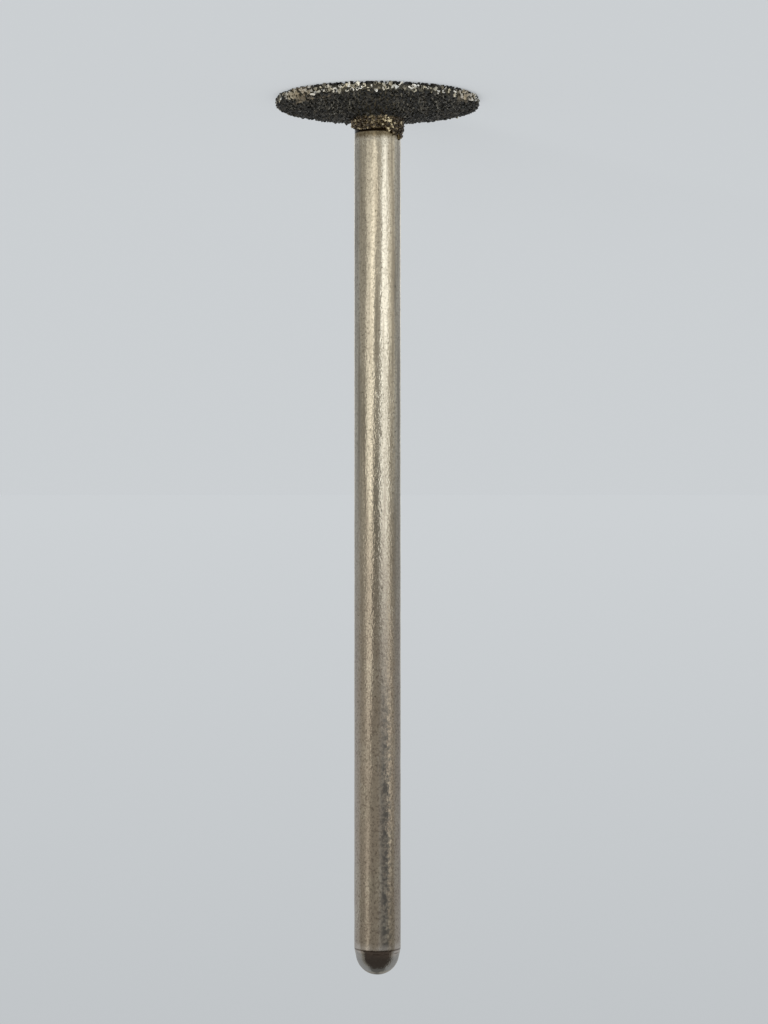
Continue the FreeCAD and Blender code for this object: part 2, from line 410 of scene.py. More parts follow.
def height_band(tree, place, low_mm, high_mm, fade_mm):
    """Share that is 1 between two heights on the bur and falls to 0 over the fade beyond them."""
    middle = (low_mm + high_mm) / 2 * MM
    half = (high_mm - low_mm) / 2 * MM
    height = add_node(tree, "ShaderNodeSeparateXYZ", inputs={"Vector": place}).outputs["Z"]
    above = add_node(tree, "ShaderNodeMath", {"operation": "SUBTRACT"}, {0: height, 1: middle}).outputs[0]
    away = add_node(tree, "ShaderNodeMath", {"operation": "ABSOLUTE"}, {0: above}).outputs[0]
    return add_node(
        tree,
        "ShaderNodeMapRange",
        {"interpolation_type": "SMOOTHSTEP"},
        {"Value": away, "From Min": half + fade_mm * MM, "From Max": half},
    ).outputs[0]


def side_share(tree, place, degrees, low, high):
    """Share that climbs from 0 to 1 towards one side of the shank, between two shares of its radius."""
    direction = (*around(1.0, math.radians(degrees)), 0.0)
    reach = add_node(
        tree, "ShaderNodeVectorMath", {"operation": "DOT_PRODUCT"}, {0: place, 1: direction}
    ).outputs["Value"]
    return add_node(
        tree,
        "ShaderNodeMapRange",
        {"interpolation_type": "SMOOTHSTEP"},
        {"Value": reach, "From Min": low * SHANK_RADIUS * MM, "From Max": high * SHANK_RADIUS * MM},
    ).outputs[0]


def painted(tree, ground, *layers):
    """A ground colour with layers over it, each the share that it covers and its colour."""
    for share, tint in layers:
        coat = add_node(
            tree,
            "ShaderNodeMix",
            {"data_type": "RGBA"},
            {MIX_SHARE: share, MIX_UNDER: ground, MIX_OVER: rgba(tint)},
        )
        ground = coat.outputs[2]
    return ground


# Bands of the plate's finish: lowest height, highest height and the fade beyond them.
GRIPPED_BAND = (32, 60, 16)
SPOTTED_BAND = (34, 42, 8)
# Painted shade under the collar's edge.
COLLAR_SHADE_BAND = (1.2, 1.85, 0.03)
UNDER_BAND = (1.2, 1.98, 0.3)
BROWNED_BAND = (1.2, 2.0, 0.3)
NOSE_BAND = (43.2, 45.0, 0.05)
WORN_END_BAND = (43.05, 43.3, 0.35)
FIRST_MARK_BAND = (43.12, 43.17, 0.03)
SECOND_MARK_BAND = (43.31, 43.33, 0.03)
PEELED_BAND = (15, 33, 5)

# The dark spots' side of the shank, in degrees.
SPOTTED_SIDE = 23.5

# Strength of the peel's bump: everywhere, added at most in its patches, and added in its band.
PEEL_LEAST, PEEL_IN_PATCHES, PEEL_IN_BAND = 0.22, 0.4, 0.36

# Roughness of the plate where it is clean, and where it has dulled.
CLEAN_ROUGHNESS, DULL_ROUGHNESS = 0.15, 0.25


def plated_steel():
    """Ground steel with a thin nickel plate, worn and stained by handling."""
    # Electroplated nickel is a warm, satin metal. Its fine orange peel breaks up what it mirrors.
    material, tree = new_material("nickel_plated_steel")
    place = add_node(tree, "ShaderNodeTexCoord").outputs["Object"]
    dulled = patches(tree, place, width_mm=0.13, low=0.4, high=0.8)
    roughness = add_node(
        tree,
        "ShaderNodeMapRange",
        inputs={"Value": dulled, "To Min": CLEAN_ROUGHNESS, "To Max": DULL_ROUGHNESS},
    )
    values = {
        "Base Color": plate_colour(tree, place, dulled),
        "Metallic": 1.0,
        "Roughness": roughness.outputs[0],
        "Normal": orange_peel(tree, place),
    }
    return finished(material, "ShaderNodeBsdfPrincipled", values)


def plate_colour(tree, place, dulled):
    """Colour of the plate, with what use and handling have left on it from the bottom up."""
    shank = settings("bur_shank")
    # Streaks along the shank from wiping, drawn a quarter of a millimetre wide so that they show.
    along = add_node(
        tree, "ShaderNodeMapping", inputs={"Vector": place, "Scale": (1.0, 1.0, 0.04)}
    ).outputs[0]
    streaks = patches(tree, along, width_mm=0.25, low=0.4, high=0.75)
    # The half that a handpiece grips has a pinkish brown film, and dark spots on one side.
    gripped = height_band(tree, place, *GRIPPED_BAND)
    film = patches(tree, place, width_mm=1.5, low=0.15, high=0.6, within=gripped)
    handled = patches(tree, place, width_mm=0.11, low=0.42, high=0.78, detail=3.0, within=gripped)
    pits = patches(tree, place, width_mm=0.14, low=0.69, high=0.76, detail=1.5)
    one_side = add_node(
        tree,
        "ShaderNodeMath",
        {"operation": "MULTIPLY"},
        {
            0: height_band(tree, place, *SPOTTED_BAND),
            1: side_share(tree, place, SPOTTED_SIDE, low=0.95, high=0.998),
        },
    ).outputs[0]
    spots = patches(tree, place, width_mm=0.2, low=0.38, high=0.62, within=one_side)
    # Under the collar's edge a dark line is painted shade, and below it the brown film thins out ragged over
    # a third of a millimetre.
    collar_shade = height_band(tree, place, *COLLAR_SHADE_BAND)
    under = height_band(tree, place, *UNDER_BAND)
    below_collar = height_band(tree, place, *BROWNED_BAND)
    browned = patches(tree, place, width_mm=0.13, low=0.4, high=0.75, within=below_collar)
    # The nose has a brown film, and two turned marks stand where its taper starts.
    nose = height_band(tree, place, *NOSE_BAND)
    beside_taper = height_band(tree, place, *WORN_END_BAND)
    worn_end = patches(tree, place, width_mm=0.3, low=0.25, high=0.6, within=beside_taper)
    first_mark = height_band(tree, place, *FIRST_MARK_BAND)
    second_ring = height_band(tree, place, *SECOND_MARK_BAND)
    second_mark = patches(tree, place, width_mm=0.5, low=0.4, high=0.6, within=second_ring)
    return painted(
        tree,
        rgba(shank.steel),
        (dulled, shank.tarnish),
        (streaks, shank.tarnish),
        (film, shank.stain),
        (handled, shank.handled_stain),
        (pits, shank.pit),
        (spots, shank.dark_stain),
        (under, shank.under_film),
        (browned, shank.browned_film),
        (collar_shade, shank.painted_collar_shade),
        (nose, shank.nose_film),
        (worn_end, shank.worn_end),
        (second_mark, shank.turned_mark),
        (first_mark, shank.turned_mark),
    )


def orange_peel(tree, place):
    """Normal of the plate's fine dimples, which are drawn out along the shank to twice their width."""
    shank = settings("bur_shank")
    along = add_node(
        tree, "ShaderNodeMapping", inputs={"Vector": place, "Scale": (1.0, 1.0, 0.5)}
    ).outputs[0]
    dimples = add_node(
        tree,
        "ShaderNodeTexNoise",
        inputs={"Vector": along, "Scale": per_metre(shank.peel_size), "Detail": 2.5},
    )
    # The peel comes and goes in patches, and it is strongest round the middle of the shank.
    patchy = add_node(
        tree,
        "ShaderNodeMath",
        {"operation": "ADD"},
        {0: patches(tree, place, width_mm=0.7, low=0.4, high=0.65, within=PEEL_IN_PATCHES), 1: PEEL_LEAST},
    ).outputs[0]
    strength = add_node(
        tree,
        "ShaderNodeMath",
        {"operation": "MULTIPLY_ADD"},
        {0: height_band(tree, place, *PEELED_BAND), 1: PEEL_IN_BAND, 2: patchy},
    ).outputs[0]
    return add_node(
        tree,
        "ShaderNodeBump",
        inputs={"Strength": strength, "Distance": shank.peel_depth * MM, "Height": dimples.outputs[0]},
    ).outputs[0]


def nickel_bed():
    """Nickel that electroplating has built up between the grains."""
    # Built-up nickel is grey and dull with a pebbled surface, and it is stained brown on the neck.
    grit = settings("bur_grit")
    material, tree = new_material("electroplated_nickel")
    place = add_node(tree, "ShaderNodeTexCoord").outputs["Object"]
    neck = height_band(tree, place, low_mm=grit.collar_foot, high_mm=4.0, fade_mm=0.06)
    tanned = patches(tree, place, width_mm=0.13, low=0.42, high=0.62, within=neck)
    rim = height_band(tree, place, low_mm=-1.0, high_mm=grit.rim_back - 0.05, fade_mm=0.05)
    tint = painted(
        tree,
        rgba(grit.nickel),
        (rim, grit.nickel_clogged),
        (neck, grit.nickel_stained),
        (tanned, grit.grit_tan),
    )
    # Pebbles of electroplated nickel are about a twentieth of a millimetre wide.
    pebbles = add_node(
        tree, "ShaderNodeTexNoise", inputs={"Vector": place, "Scale": per_metre(0.05), "Detail": 2.0}
    )
    bump = add_node(
        tree, "ShaderNodeBump", inputs={"Strength": 0.4, "Distance": 0.01 * MM, "Height": pebbles.outputs[0]}
    )
    values = {"Base Color": tint, "Metallic": 1.0, "Roughness": 0.42, "Normal": bump.outputs[0]}
    return finished(material, "ShaderNodeBsdfPrincipled", values)


def grain_material(name, tones, roughness, index=None):
    """Material of grains whose colour runs through the tones, from the darkest grain to the lightest.

    Grains with an index of refraction are crystals, and those without one are metal.
    """
    grit = settings("bur_grit")
    material, tree = new_material(name)
    tone = add_node(tree, "ShaderNodeAttribute", {"attribute_name": "grain_tone"})
    stops = [(place, rgba(tint)) for place, tint in tones]
    ramp = add_node(tree, "ShaderNodeValToRGB", inputs={"Fac": tone.outputs["Fac"]}, stops=stops)
    smear = add_node(tree, "ShaderNodeAttribute", {"attribute_name": "smear"}).outputs["Fac"]
    coloured = painted(tree, ramp.outputs[0], (smear, grit.smear))
    # Residue is matt and no metal, so the gloss and the metal fade under it.
    dull = add_node(tree, "ShaderNodeMapRange", inputs={"Value": smear, "To Min": roughness, "To Max": 0.7})
    values = {"Base Color": coloured, "Roughness": dull.outputs[0]}
    if index is None:
        clean = add_node(tree, "ShaderNodeMapRange", inputs={"Value": smear, "To Min": 1.0, "To Max": 0.0})
        values["Metallic"] = clean.outputs[0]
    else:
        values["IOR"] = index
    return finished(material, "ShaderNodeBsdfPrincipled", values)


def diamond_grit():
    """Crushed industrial diamond on the disc, clogged and dulled by use."""
    # Diamond has an index of 2.42, but the film on used grit leaves a duller, blacker glint.
    grit = settings("bur_grit")
    tones = ((0.0, grit.grit_black), (0.6, grit.grit_black), (1.0, grit.grit_grey))
    return grain_material("diamond_grit", tones, roughness=0.5, index=1.5)


def stained_diamond_grit():
    """Crushed diamond on the neck, stained brown, with clean golden grains between and a painted highlight
    on one side.
    """
    # Clean diamond glints hard. The stain soaks it brown.
    grit = settings("bur_grit")
    tones = (
        (0.0, grit.nickel_stained),
        (0.35, grit.grit_brown),
        (0.7, grit.grit_tan),
        (1.0, grit.grit_gold),
    )
    return grain_material("stained_diamond_grit", tones, roughness=0.45, index=1.65)


def worn_grit():
    """Grains of the rim whose nickel skin is rubbed bright."""
    # Rubbed nickel shines cream to pale gold, far brighter than the grit round it.
    grit = settings("bur_grit")
    tones = ((0.0, grit.worn_dark), (0.35, grit.worn_gold), (0.6, grit.worn_cream), (1.0, grit.worn_cream))
    return grain_material("burnished_nickel", tones, roughness=0.24)


# The steel blank.

# Vertices round the blank, and the longest step along its outline.
BLANK_COLUMNS = 180
BLANK_STEP = 0.13

# Round on the edge where the taper starts, its steps, and the steps of the nose.
TAPER_ROUND = 0.5
TAPER_ROUND_STEPS = 3
NOSE_STEPS = 24

# Waves a millimetre of the plate's unevenness, across the shank and along it.
WAVES_ACROSS, WAVES_ALONG = 1.9, 0.9


def blank_outline():
    """Outline of the turned blank, from the middle of its outer face to the nose's tip."""
    shank = settings("bur_shank")
    nose_centre = BUR_LENGTH - shank.nose_radius
    nose_start = (
        shank.nose_radius * math.cos(shank.nose_taper),
        nose_centre + shank.nose_radius * math.sin(shank.nose_taper),
    )
    taper_edge = nose_start[1] - (SHANK_RADIUS - nose_start[0]) / math.tan(shank.nose_taper)
    corners = (
        (0.0, BLANK_FACE, 0),
        (BLANK_RADIUS, BLANK_FACE, 0),
        (BLANK_RADIUS, BLANK_FACE + shank.rim_thickness, 0),
        (SHANK_RADIUS - shank.neck_relief, shank.hub_top, 0),
        (SHANK_RADIUS, shank.neck_end, 0),
        (SHANK_RADIUS, taper_edge, TAPER_ROUND),
        (*nose_start, 0),
    )
    outline = resampled(rounded(corners, TAPER_ROUND_STEPS), BLANK_STEP)
    nose = []
    for step in range(1, NOSE_STEPS + 1):
        angle = shank.nose_taper + (math.pi / 2 - shank.nose_taper) * step / NOSE_STEPS
        nose.append((shank.nose_radius * math.cos(angle), nose_centre + shank.nose_radius * math.sin(angle)))
    return np.vstack((outline, nose))


class BUR_OT_make_blank(bpy.types.Operator):
    """Build the turned steel blank with its shank and round nose"""

    bl_idname = "bur.make_blank"
    bl_label = "Make steel blank"

    def execute(self, context):
        shank = settings("bur_shank")
        outline = blank_outline()
        angles = np.arange(BLANK_COLUMNS) * 2 * math.pi / BLANK_COLUMNS
        vertices = []
        for (radius, height), (out, up) in zip(outline, outward(outline)):
            for angle in angles:
                # The disc and the neck's foot are true. The plate on the rest is a little uneven.
                depth = 0.0
                if height > shank.hub_top:
                    across = WAVES_ACROSS * radius
                    wave = Vector((across * math.cos(angle), across * math.sin(angle), WAVES_ALONG * height))
                    depth = shank.waviness * noise.noise(wave)
                reach = radius + out * depth
                vertices.append((reach * math.cos(angle), reach * math.sin(angle), height + up * depth))
        faces = lathe_faces(len(outline), BLANK_COLUMNS)
        piece = new_piece("steel_blank", vertices, faces, True, plated_steel())
        weld(piece)
        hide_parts("turned_blank")
        return {"FINISHED"}


# The diamond layer.

# Depth and waves of the collar's ragged edge, the waves to one radius of the shank.
RAGGED_DEPTH = 0.04
RAGGED_WAVES = 4.5

# Vertices round the nickel bed, and the longest step along its outline.
BED_COLUMNS = 480
BED_STEP = 0.065

# Round where the coated cone meets the collar, and the steps of every round of the bed.
FOOT_ROUND = 0.1
BED_ROUND_STEPS = 8

# The bed climbs each grain by this much, over this distance, and dips between the grains.
BED_CLIMB = 0.035
BED_CLIMB_REACH = 0.09
BED_DIP = 0.012

# The bed's last ring goes this far into the shank, so that no gap shows.
BED_BITE = 0.01

# Random places that are tried for a grain. Most lie too near to one that is taken.
CANDIDATES = 130000

# Room above the collar's edge for its runs, and how far its grains stay below its ragged edge.
RUN_ROOM = 0.5
EDGE_MARGIN = 0.03

# How far in from the coated radius the rim's closer spacing holds.
RIM_DEPTH = 0.15

# A crystal about 1 wide is the hull of random corners. These are the shapes, the corners of each, the
# corners' distance from the middle, the stretch along each axis, and how much the grains' widths vary.
CRYSTAL_SHAPES = 40
CRYSTAL_CORNERS = 11
CORNER_DISTANCE = (0.42, 0.58)
CRYSTAL_STRETCH = (0.8, 1.2)
WIDTH_SCATTER = 0.16

# The flat cut on a worn crystal: its distance from the middle, its lean and its scatter.
CUT_DISTANCE = 0.16
CUT_LEAN = 0.12
CUT_SCATTER = 0.12

# The stretch on each side of the rim with few grains worn bright, as painted shade that darkens the rim's
# ends: its angle and width in degrees, and the share of the wear that it loses.
SHADED_SIDE_ANGLE = 84
SHADED_SIDE_WIDTH = 8
SHADED_SIDE_SHARE = 0.8

# The worn band stops short of the rim's edges: from the outer face, and from the back.
FACE_MARGIN, BACK_MARGIN = 0.05, 0.1

# Dried residue on the two ends of the rim: each patch's place, the distance from it to which the residue is
# thickest, and the distance at which it ends. A patch fades four times as fast across the narrow rim.
RESIDUE = ((3.95, -3.25, 0.3, 0.38, 1.33), (-4.4, -2.6, 0.3, 0.3, 1.05))
RESIDUE_COVER = 0.85
RESIDUE_FADE = (1, 1, 4)

# The scrape behind the rim: its middle in degrees, its radius there, how much that grows with each degree,
# how far from the middle and from the line it is whole, and ends, and how much residue it holds. It is on
# the cone alone, which starts half a millimetre up.
SCRAPE_ANGLE = -48
SCRAPE_RADIUS = 4.62
SCRAPE_DRIFT = 0.004
SCRAPE_TURN = (12, 24)
SCRAPE_WIDTH = (0.04, 0.12)
SCRAPE_COVER = 0.5
CONE_START = 0.5

# Painted highlight on the neck, where its grains are lighter and golden round one angle: its angle and its
# width in degrees.
HIGHLIGHT_ANGLE = 26
HIGHLIGHT_WIDTH = 15

# Tone of the neck's grains: the least, and what a grain's own tone, the stain's clouds and the painted
# highlight add to it. The own tone's power darkens its middle. The clouds are a fifth of a millimetre wide.
LEAST_TONE, OWN_TONE, CLOUD_TONE, HIGHLIGHT_TONE = 0.1, 0.65, 0.35, 0.45
OWN_POWER = 1.8
CLOUD_WAVES = 5

# A grain whose normal has this much of the axis in it is on the outer face or on the back.
FACE_SLOPE = 0.7


def collar_reach(angle):
    """How far the grit runs beyond the collar's edge at an angle in radians."""
    reach = 0.0
    for run_angle, width, length in RUNS:
        across = abs(turn_between(angle, run_angle)) * SHANK_RADIUS / (width / 2)
        if across < 1:
            reach = max(reach, length * math.sqrt(1 - across * across))
    angles, offsets = zip(*COLLAR_EDGE)
    offset = np.interp(math.degrees(turn_between(angle, 0.0)), angles, offsets)
    ragged = noise.noise(Vector((math.cos(angle), math.sin(angle), 0)) * RAGGED_WAVES)
    return float(offset) + reach + RAGGED_DEPTH * ragged


def head_outline():
    """Outline of the layer's nickel bed, from the middle of its outer face to the collar."""
    grit = settings("bur_grit")
    sunk = grit.sunk
    rim = COATED_RADIUS - sunk
    neck = SHANK_RADIUS + grit.neck_coat - sunk
    corners = (
        (0.0, sunk, 0),
        (rim, sunk, grit.rim_round),
        (rim, grit.rim_back - sunk, grit.rim_round),
        (neck, grit.collar_foot - sunk, FOOT_ROUND),
        (neck, grit.collar_edge, 0),
    )
    return resampled(rounded(corners, BED_ROUND_STEPS), BED_STEP)


def grain_places(rng):
    """Places and outward normals of the grains, no two nearer than the spacing."""
    grit = settings("bur_grit")
    outline = head_outline()
    outline = np.vstack((outline, (outline[-1][0], outline[-1][1] + RUN_ROOM)))
    normals = outward(outline)
    # Each stretch of the outline gets its share of the candidates by the area that it sweeps.
    steps = np.linalg.norm(np.diff(outline, axis=0), axis=1)
    middles = (outline[1:, 0] + outline[:-1, 0]) / 2
    area = np.cumsum(steps * middles)
    chosen = np.searchsorted(area, rng.random(CANDIDATES) * area[-1])
    share = rng.random(CANDIDATES)[:, None]
    spots = outline[chosen] * (1 - share) + outline[chosen + 1] * share
    angles = rng.random(CANDIDATES) * 2 * math.pi
    cell = grit.spacing
    taken = {}
    places = []
    for (radius, height), angle, segment in zip(spots, angles, chosen):
        on_neck = height > grit.collar_foot
        if on_neck and height > grit.collar_edge + collar_reach(angle) - EDGE_MARGIN:
            continue
        place = (*around(radius, angle), height)
        key = tuple(int(value // cell) for value in place)
        gap = grit.spacing
        if on_neck:
            gap = grit.neck_spacing
        elif radius > COATED_RADIUS - RIM_DEPTH:
            gap = grit.rim_spacing
        if near_taken(taken, key, place, gap):
            continue
        taken.setdefault(key, []).append(place)
        out, up = normals[segment]
        places.append((*place, *around(out, angle), up))
    return np.array(places)


def near_taken(taken, key, place, spacing):
    """True if a place taken already is nearer than the spacing."""
    for dx in (-1, 0, 1):
        for dy in (-1, 0, 1):
            for dz in (-1, 0, 1):
                for other in taken.get((key[0] + dx, key[1] + dy, key[2] + dz), ()):
                    if math.dist(other, place) < spacing:
                        return True
    return False


def crystal_shapes(rng):
    """Vertices and triangles of a few blocky crystals about 1 wide."""
    shapes = []
    for _ in range(CRYSTAL_SHAPES):
        corners = rng.normal(size=(CRYSTAL_CORNERS, 3))
        corners /= np.linalg.norm(corners, axis=1)[:, None]
        corners *= rng.uniform(*CORNER_DISTANCE, size=(CRYSTAL_CORNERS, 1))
        corners *= rng.uniform(*CRYSTAL_STRETCH, size=3)
        work = bmesh.new()
        for corner in corners:
            work.verts.new(corner)
        hull = bmesh.ops.convex_hull(work, input=work.verts)
        loose = [item for item in hull["geom_interior"] if isinstance(item, bmesh.types.BMVert)]
        bmesh.ops.delete(work, geom=loose, context="VERTS")
        work.verts.index_update()
        vertices = np.array([vert.co[:] for vert in work.verts])
        faces = np.array([[vert.index for vert in face.verts] for face in work.faces])
        work.free()
        shapes.append((vertices, faces))
    return shapes


def random_turns(rng, count):
    """Uniform random rotation matrices."""
    quats = rng.normal(size=(count, 4))
    quats /= np.linalg.norm(quats, axis=1)[:, None]
    w, x, y, z = quats.T
    rows = (
        (1 - 2 * (y * y + z * z), 2 * (x * y - z * w), 2 * (x * z + y * w)),
        (2 * (x * y + z * w), 1 - 2 * (x * x + z * z), 2 * (y * z - x * w)),
        (2 * (x * z - y * w), 2 * (y * z + x * w), 1 - 2 * (x * x + y * y)),
    )
    return np.transpose(np.array(rows), (2, 0, 1))


def worn_flat(corners, out, rng):
    """The crystal with its outer part worn off by a cut that lies nearly along the rim."""
    radial = np.array((out[0], out[1], 0.0))
    across = radial / np.linalg.norm(radial) + (0.0, 0.0, CUT_LEAN) + rng.normal(0, CUT_SCATTER, 3)
    across /= np.linalg.norm(across)
    over = np.maximum(corners @ across - CUT_DISTANCE, 0)
    return corners - over[:, None] * across


def rim_wear_and_shade(places):
    """Share of the wear round the rim at each place, less at its two sides as painted shade."""
    from_shaded_side = abs(turn_from_front(places)) - SHADED_SIDE_ANGLE
    return 1 - SHADED_SIDE_SHARE * np.exp(-((from_shaded_side / SHADED_SIDE_WIDTH) ** 2))


def fading(distances, whole, end):
    """Share that is 1 up to one distance and falls to 0 at another."""
    return np.clip((end - distances) / (end - whole), 0, 1)


def smear_share(places):
    """How much dried residue covers each grain: the patches on the rim, and the scrape behind it."""
    share = np.zeros(len(places))
    for *middle, whole, end in RESIDUE:
        away = np.linalg.norm((places[:, :3] - middle) * RESIDUE_FADE, axis=1)
        share = np.maximum(share, RESIDUE_COVER * fading(away, whole, end))
    turned = turn_from_front(places) - SCRAPE_ANGLE
    from_line = np.hypot(places[:, 0], places[:, 1]) - SCRAPE_RADIUS - SCRAPE_DRIFT * turned
    scrape = fading(abs(turned), *SCRAPE_TURN) * fading(abs(from_line), *SCRAPE_WIDTH)
    return np.maximum(share, SCRAPE_COVER * scrape * (places[:, 2] > CONE_START))


def neck_tones(places, tones):
    """Darker tones for the neck's grains, but lighter golden ones in the painted highlight."""
    # clean is the share of the painted highlight round its angle.
    clean = np.exp(-(((turn_from_front(places) - HIGHLIGHT_ANGLE) / HIGHLIGHT_WIDTH) ** 2))
    cloud = np.array([noise.noise(Vector(place[:3]) * CLOUD_WAVES) for place in places])
    stained = OWN_TONE * tones ** OWN_POWER + CLOUD_TONE * cloud + LEAST_TONE
    return np.clip(stained + HIGHLIGHT_TONE * clean * tones, 0, 1)


def add_float(piece, name, values):
    """Stores one number for each vertex."""
    attribute = piece.data.attributes.new(name, "FLOAT", "POINT")
    attribute.data.foreach_set("value", np.asarray(values, np.float32))


class BUR_OT_make_grit(bpy.types.Operator):
    """Build the nickel bed and the diamond grains on the disc and the neck"""

    bl_idname = "bur.make_grit"
    bl_label = "Make diamond layer"

    def execute(self, context):
        grit = settings("bur_grit")
        rng = np.random.default_rng(grit.seed)
        places = grain_places(rng)
        bed = self.make_bed(grit, places)
        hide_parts("diamond_coat")
        shapes = crystal_shapes(rng)
        tones = rng.random(len(places))
        worn_draw = rng.random(len(places))
        heights, slopes = places[:, 2], places[:, 5]
        on_neck = heights > grit.collar_foot - grit.sunk
        on_face = (slopes < -FACE_SLOPE) & ~on_neck
        on_back = (slopes > FACE_SLOPE) & ~on_neck
        on_rim = ~(on_neck | on_face | on_back)
        in_band = (heights > FACE_MARGIN) & (heights < grit.rim_back - BACK_MARGIN)
        # The rim's two sides get few grains worn bright, as painted shade.
        worn = on_rim & in_band & (worn_draw < grit.worn_share * rim_wear_and_shade(places))
        tones = np.where(on_neck, neck_tones(places, tones), tones)
        cored = worn & (rng.random(len(places)) < grit.core_share)
        black = diamond_grit()
        # Each group's name, grains and material, their mean width, how far they stand proud as a share of
        # the bed's depth, and whether they are worn flat. A dark core looks out of a worn grain's flat.
        groups = (
            ("face_grains", on_face, black, grit.grain, 0.35, False),
            ("rim_grains", on_rim & ~worn, black, grit.grain, 0.35, False),
            ("worn_rim_grains", worn, worn_grit(), 1.2 * grit.grain, 0.75, True),
            ("rim_cores", cored, black, 0.6 * grit.grain, 1.05, False),
            ("back_grains", on_back, black, grit.grain, 0.35, False),
            ("neck_grains", on_neck, stained_diamond_grit(), grit.neck_grain, 0.35, False),
        )
        for name, chosen, material, width, proud, is_worn in groups:
            self.make_grains(
                name, places[chosen], tones[chosen], shapes, rng, width, proud * grit.sunk, is_worn, material
            )
        return {"FINISHED"}

    def make_bed(self, grit, places):
        """Nickel skin that rises round each grain."""
        outline = head_outline()
        tree = KDTree(len(places))
        for number, place in enumerate(places):
            tree.insert(place[:3], number)
        tree.balance()
        angles = [column * 2 * math.pi / BED_COLUMNS for column in range(BED_COLUMNS)]
        reaches = [collar_reach(angle) for angle in angles]
        vertices = []
        last = len(outline) - 1
        for ring, ((radius, height), (out, up)) in enumerate(zip(outline, outward(outline))):
            # The collar's rings follow its uneven edge, the more the higher they are.
            climb = max(0.0, (height - grit.collar_foot) / (grit.collar_edge - grit.collar_foot))
            for angle, edge in zip(angles, reaches):
                level = height + climb * edge
                nearest = tree.find((*around(radius, angle), level))[2]
                rise = BED_CLIMB * max(0.0, 1 - nearest / BED_CLIMB_REACH) - BED_DIP
                reach = SHANK_RADIUS - BED_BITE if ring == last else radius + out * rise
                vertices.append((*around(reach, angle), level + up * rise))
        faces = [tuple(reversed(face)) for face in lathe_faces(len(outline), BED_COLUMNS)]
        piece = new_piece("nickel_bed", vertices, faces, True, nickel_bed())
        weld(piece)
        return piece

    def make_grains(self, name, places, tones, shapes, rng, mean_width, proud, is_worn, material):
        """Crystals at their places, each turned at random and sunk in the bed."""
        turns = random_turns(rng, len(places))
        widths = mean_width * np.exp(rng.normal(0, WIDTH_SCATTER, len(places)))
        covers = smear_share(places)
        vertices, faces, tone, cover = [], [], [], []
        count = 0
        for place, turn, width, own_tone, own_cover in zip(places, turns, widths, tones, covers):
            shape, triangles = shapes[rng.integers(len(shapes))]
            corners = shape @ turn.T
            if is_worn:
                corners = worn_flat(corners, place[3:], rng)
            corners = corners * width + place[:3] + place[3:] * proud
            # The bur stands on its outer face, so no grain goes below the floor.
            corners[:, 2] = np.maximum(corners[:, 2], 0.0)
            vertices.append(corners)
            faces.append(triangles + count)
            count += len(corners)
            tone.append(np.full(len(corners), own_tone))
            cover.append(np.full(len(corners), own_cover))
        piece = new_piece(
            name, np.vstack(vertices), np.vstack(faces).tolist(), False, material
        )
        add_float(piece, "grain_tone", np.concatenate(tone))
        add_float(piece, "smear", np.concatenate(cover))
        return piece


# The stage.

# Heights on the light tent at which its panels are given.
TENT_LEVELS = (0.05, 4.0, 9.0, 21.0, 28.0, 36.0, 46.0)

# Tints of the tent's cloth.
WARM = "#FFFEF8"
CLEAR = "#F3F8FC"
COOL = "#F1F7FF"


def upright(degrees):
    """The far edge of a panel that stands upright."""
    return (degrees,) * len(TENT_LEVELS)


# Panels of the light tent, in order round the bur. Each has the angle of its far edge at each level, in
# degrees, its brightness there and its tint. The first one starts at TENT_START.
TENT_START = -210.0
TENT_PANELS = (
    (upright(-186), (1.0, 1.0, 1.0, 0.8, 0.65, 0.5, 0.4), WARM),
    (upright(-172), (0.2, 0.2, 0.2, 0.2, 0.2, 0.2, 0.2), WARM),
    (upright(-152), (0.9, 0.9, 0.9, 0.7, 0.6, 0.45, 0.35), WARM),
    (upright(-95), (0.34, 0.34, 0.34, 0.38, 0.42, 0.5, 0.45), COOL),
    (upright(-76), (0.34, 0.33, 0.32, 0.34, 0.34, 0.37, 0.27), WARM),
    ((-53, -54, -55, -55, -56, -57, -57), (0.34, 0.31, 0.32, 0.32, 0.34, 0.39, 0.3), WARM),
    ((-29, -36, -38, -38, -42, -48, -50), (0.64, 0.7, 0.8, 0.84, 0.7, 0.62, 0.58), WARM),
    ((-22, -24, -33, -38, -42, -48, -50), (0.5, 0.72, 0.76, 0.84, 0.7, 0.62, 0.58), WARM),
    ((-6, 2, -17, -23, -28, -37, -41), (1.0, 1.15, 1.25, 1.25, 0.96, 0.57, 0.53), WARM),
    ((19, 17, 14, 9, 9, 8, 6), (0.48, 0.52, 0.42, 0.2, 0.27, 0.31, 0.27), WARM),
    ((24, 22, 20, 15, 16, 18, 16), (0.7, 0.58, 0.6, 0.42, 0.34, 0.38, 0.38), CLEAR),
    ((29, 27, 27, 25, 24, 20, 20), (1.0, 1.3, 1.95, 1.3, 0.46, 0.3, 0.29), CLEAR),
    (upright(50), (1.25, 1.45, 1.6, 1.22, 0.7, 0.29, 0.25), CLEAR),
    ((66, 66, 66, 66, 67, 68, 68), (0.58, 0.7, 0.76, 0.5, 0.74, 0.82, 0.23), WARM),
    (upright(76), (0.46, 0.56, 0.56, 0.26, 0.3, 0.32, 0.2), WARM),
    (upright(90), (0.62, 0.56, 0.6, 0.29, 0.32, 0.35, 0.22), WARM),
    (upright(104), (0.48, 0.42, 0.42, 0.32, 0.34, 0.37, 0.42), COOL),
    (upright(130), (0.48, 0.4, 0.41, 0.32, 0.34, 0.37, 0.43), COOL),
    (upright(150), (0.45, 0.4, 0.41, 0.32, 0.34, 0.37, 0.43), COOL),
)

